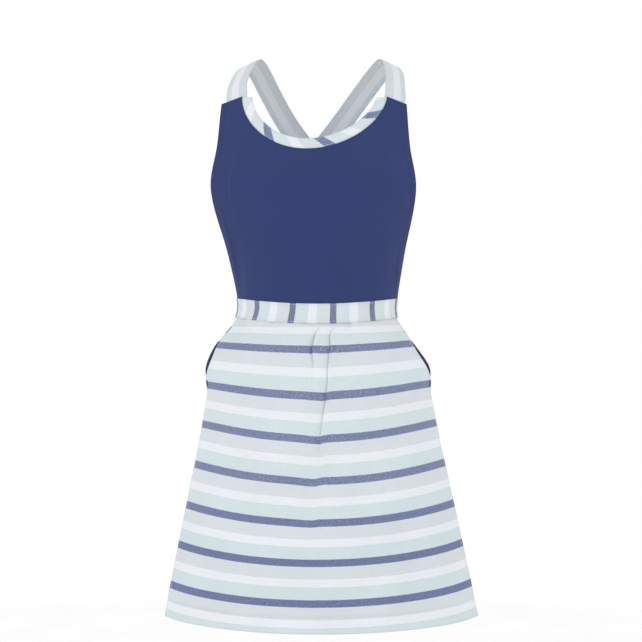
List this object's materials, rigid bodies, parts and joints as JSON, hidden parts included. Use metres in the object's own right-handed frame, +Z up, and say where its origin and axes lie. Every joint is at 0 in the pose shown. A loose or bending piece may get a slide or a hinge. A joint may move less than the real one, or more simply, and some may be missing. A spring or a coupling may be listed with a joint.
{
  "type": "bib apron",
  "caption": "Dress-shaped bib apron with a scoop neck, bias neck band, crossed button-on shoulder straps, waistband with a tied back bow, side pockets and an A-line skirt.",
  "frame": {"origin": "the middle of the space between the two shoulder straps, at the height where they rest on the wearer's shoulders", "axes": "+X towards the wearer's left, -Y towards the front, +Z up; the apron hangs as it is worn"},
  "size_m": [0.4808, 0.2962, 0.857],
  "materials": {
    "navy_cotton": "matt plain-woven navy cotton",
    "striped_cotton": "matt cotton, woven in stripes of pale blue, white and chambray navy",
    "waistband_cotton": "the striped cotton, cut with its stripes upright",
    "pocket_cotton": "thin navy pocketing cotton",
    "navy_thread": "twisted sewing thread",
    "label_tape": "blank woven tape with no print",
    "button": "polished off-white resin"
  },
  "bodies": {
    "apron": {"bib_panel": "navy_cotton", "neck_band": "striped_cotton", "armhole_facing_left": "navy_cotton", "armhole_facing_right": "navy_cotton", "shoulder_strap_left": "striped_cotton", "shoulder_strap_right": "striped_cotton", "waistband_front": "waistband_cotton", "waistband_lining": "waistband_cotton", "skirt_panel": "striped_cotton", "bottom_hem": "striped_cotton", "side_hem_left": "striped_cotton", "side_hem_right": "striped_cotton", "pocket_back_left": "pocket_cotton", "pocket_back_right": "pocket_cotton", "pocket_lining_left": "pocket_cotton", "pocket_lining_right": "pocket_cotton", "pocket_bartacks": "navy_thread", "strap_button_left": "button", "strap_button_right": "button", "button_thread_left": "navy_thread", "button_thread_right": "navy_thread", "waist_tie_left": "striped_cotton", "waist_tie_right": "striped_cotton", "bow_knot": "striped_cotton"},
    "loop_left": {"bow_loop_left": "striped_cotton"},
    "loop_right": {"bow_loop_right": "striped_cotton"},
    "tail_left": {"tie_tail_left": "striped_cotton"},
    "tail_right": {"tie_tail_right": "striped_cotton"},
    "label": {"care_label": "label_tape"}
  },
  "joints": [
    {"name": "loop_left_droop", "type": "hinge", "parent": "apron", "child": "loop_left", "pos_m": [0.01289, 0.11138, -0.378], "axis": [0, 1, 0], "range_deg": [-15, 20], "stiffness_Nm_per_rad": 0.02, "springref_deg": -2.54},
    {"name": "loop_right_droop", "type": "hinge", "parent": "apron", "child": "loop_right", "pos_m": [-0.02411, 0.11138, -0.378], "axis": [0, -1, 0], "range_deg": [-15, 20], "stiffness_Nm_per_rad": 0.02, "springref_deg": -2.54},
    {"name": "tail_left_swing", "type": "hinge", "parent": "apron", "child": "tail_left", "pos_m": [0.01442, 0.11135, -0.3964], "axis": [1, 0, 0], "range_deg": [-6, 70]},
    {"name": "tail_right_swing", "type": "hinge", "parent": "apron", "child": "tail_right", "pos_m": [-0.02565, 0.11136, -0.3964], "axis": [1, 0, 0], "range_deg": [-6, 70]},
    {"name": "label_flip", "type": "hinge", "parent": "apron", "child": "label", "pos_m": [-0.05341, -0.08864, -0.39874], "axis": [0.9534, -0.3017, 0], "range_deg": [0, 70]}
  ]
}
